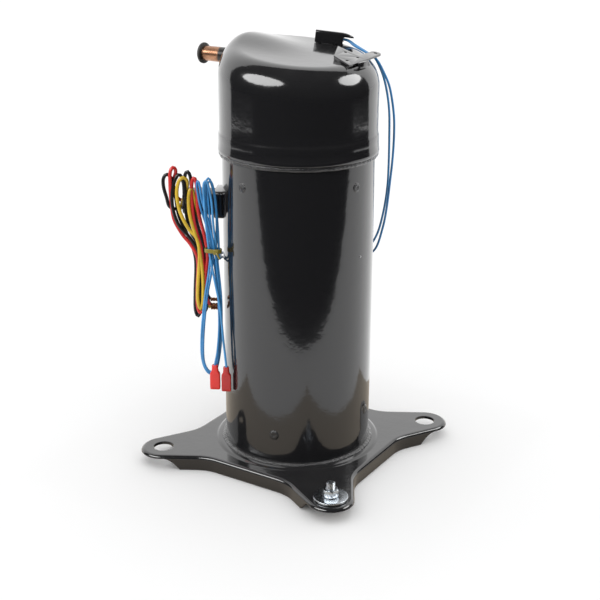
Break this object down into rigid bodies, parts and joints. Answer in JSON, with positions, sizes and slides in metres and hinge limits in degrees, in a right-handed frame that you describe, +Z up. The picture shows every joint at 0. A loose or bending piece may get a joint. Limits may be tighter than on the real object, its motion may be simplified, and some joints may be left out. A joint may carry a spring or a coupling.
{
  "type": "scroll compressor",
  "caption": "Hermetic scroll compressor: tall black welded shell on a star-shaped foot plate, with coiled power and thermostat leads and the shaft, motor and scroll set inside.",
  "frame": {"origin": "centre of the foot plate's outline, on the surface that it stands on", "axes": "+Z up the shell; +X away from the discharge stub, which leaves the cap along -X; +Y from the front of the plate, where the bolted foot is to the right, to the back"},
  "size_m": [0.2338, 0.2338, 0.4096],
  "materials": {
    "enamel": "gloss black enamel",
    "zinc": "bright zinc plate",
    "copper": "copper, dull",
    "rubber": "matt black",
    "steel": "machined",
    "iron": "machined casting",
    "aluminium": "die cast",
    "lamination": "stacked laminations",
    "winding": "varnished copper wire",
    "bronze": "bearing bronze",
    "plug_plastic": "black moulding",
    "magnet": "ferrite",
    "blue_lead": "blue insulation",
    "power_lead": "bundle of black, red and yellow insulation",
    "tie_yellow": "olive yellow",
    "red_insulator": "red vinyl"
  },
  "bodies": {
    "housing": {"shell_tube": "enamel", "top_cap": "enamel", "bottom_cap": "enamel", "base_plate": "enamel", "hold_down_bolt": "zinc", "hold_down_washer": "zinc", "hold_down_nut": "zinc", "discharge_fitting": "copper", "suction_fitting": "copper", "hermetic_terminal": "steel", "molded_plug": "plug_plastic", "terminal_fence": "enamel", "internal_leads": "plug_plastic", "thermostat_cover": "enamel", "discharge_thermostat": "steel", "bracket_plate": "enamel", "bracket_leg": "enamel", "scroll_bolt_1": "steel", "scroll_bolt_2": "steel", "scroll_bolt_3": "steel", "scroll_bolt_4": "steel", "main_bearing_housing": "iron", "main_bearing_bush": "bronze", "muffler_plate": "steel", "valve_guide": "steel", "relief_valve": "bronze", "stator_core": "lamination", "winding_upper": "winding", "winding_lower": "winding", "motor_protector": "plug_plastic", "lower_bearing_bracket": "steel", "lower_bearing_bush": "bronze", "thrust_washer": "steel", "sump_magnet": "magnet", "suction_baffle": "steel", "thermostat_lead_a": "blue_lead", "thermostat_lead_b": "blue_lead", "thermostat_lead_hank": "blue_lead", "power_lead_hank": "power_lead", "hank_tie": "tie_yellow", "quick_connect_a": "red_insulator", "quick_connect_b": "red_insulator", "power_lead_terminal_1": "copper", "power_lead_terminal_2": "copper", "power_lead_terminal_3": "copper"},
    "crankshaft": {"crankshaft": "steel", "upper_counterweight": "bronze", "lower_counterweight": "bronze", "rotor_core": "lamination", "rotor_ring_upper": "aluminium", "rotor_ring_lower": "aluminium", "oil_pickup": "steel"},
    "drive_bush": {"drive_bush": "bronze"},
    "orbiting_scroll": {"orbiting_scroll": "iron"},
    "oldham_ring": {"oldham_ring": "aluminium"},
    "non_orbiting_scroll": {"non_orbiting_scroll": "iron"},
    "floating_seal": {"floating_seal": "steel"},
    "check_valve_disc": {"check_valve_disc": "steel"},
    "discharge_plug": {"discharge_plug": "rubber"},
    "suction_plug": {"suction_plug": "rubber"}
  },
  "joints": [
    {"name": "shaft_spin", "type": "hinge", "parent": "housing", "child": "crankshaft", "pos_m": [0, 0, 0.15], "axis": [0, 0, 1], "continuous": true},
    {"name": "bush_slide", "type": "slide", "parent": "crankshaft", "child": "drive_bush", "axis": [-1, 0, 0], "range_m": [0, 0.0004]},
    {"name": "orbit_counter", "type": "hinge", "parent": "drive_bush", "child": "orbiting_scroll", "pos_m": [0.004, 0, 0.28], "axis": [0, 0, 1], "continuous": true},
    {"name": "oldham_slide", "type": "slide", "parent": "housing", "child": "oldham_ring", "axis": [1, 0, 0], "range_m": [-0.008, 0]},
    {"name": "scroll_float", "type": "slide", "parent": "housing", "child": "non_orbiting_scroll", "axis": [0, 0, 1], "range_m": [0, 0.0008]},
    {"name": "seal_lift", "type": "slide", "parent": "non_orbiting_scroll", "child": "floating_seal", "axis": [0, 0, 1], "range_m": [0, 0.001]},
    {"name": "valve_lift", "type": "slide", "parent": "housing", "child": "check_valve_disc", "axis": [0, 0, 1], "range_m": [0, 0.003]},
    {"name": "discharge_plug_pull", "type": "slide", "parent": "housing", "child": "discharge_plug", "axis": [-1, 0, 0], "range_m": [0, 0.025]},
    {"name": "suction_plug_pull", "type": "slide", "parent": "housing", "child": "suction_plug", "axis": [-0.5299, 0.848, 0], "range_m": [0, 0.025]}
  ],
  "couplings": [
    {"joint": "orbit_counter", "follows": "shaft_spin", "ratio": -1}
  ]
}
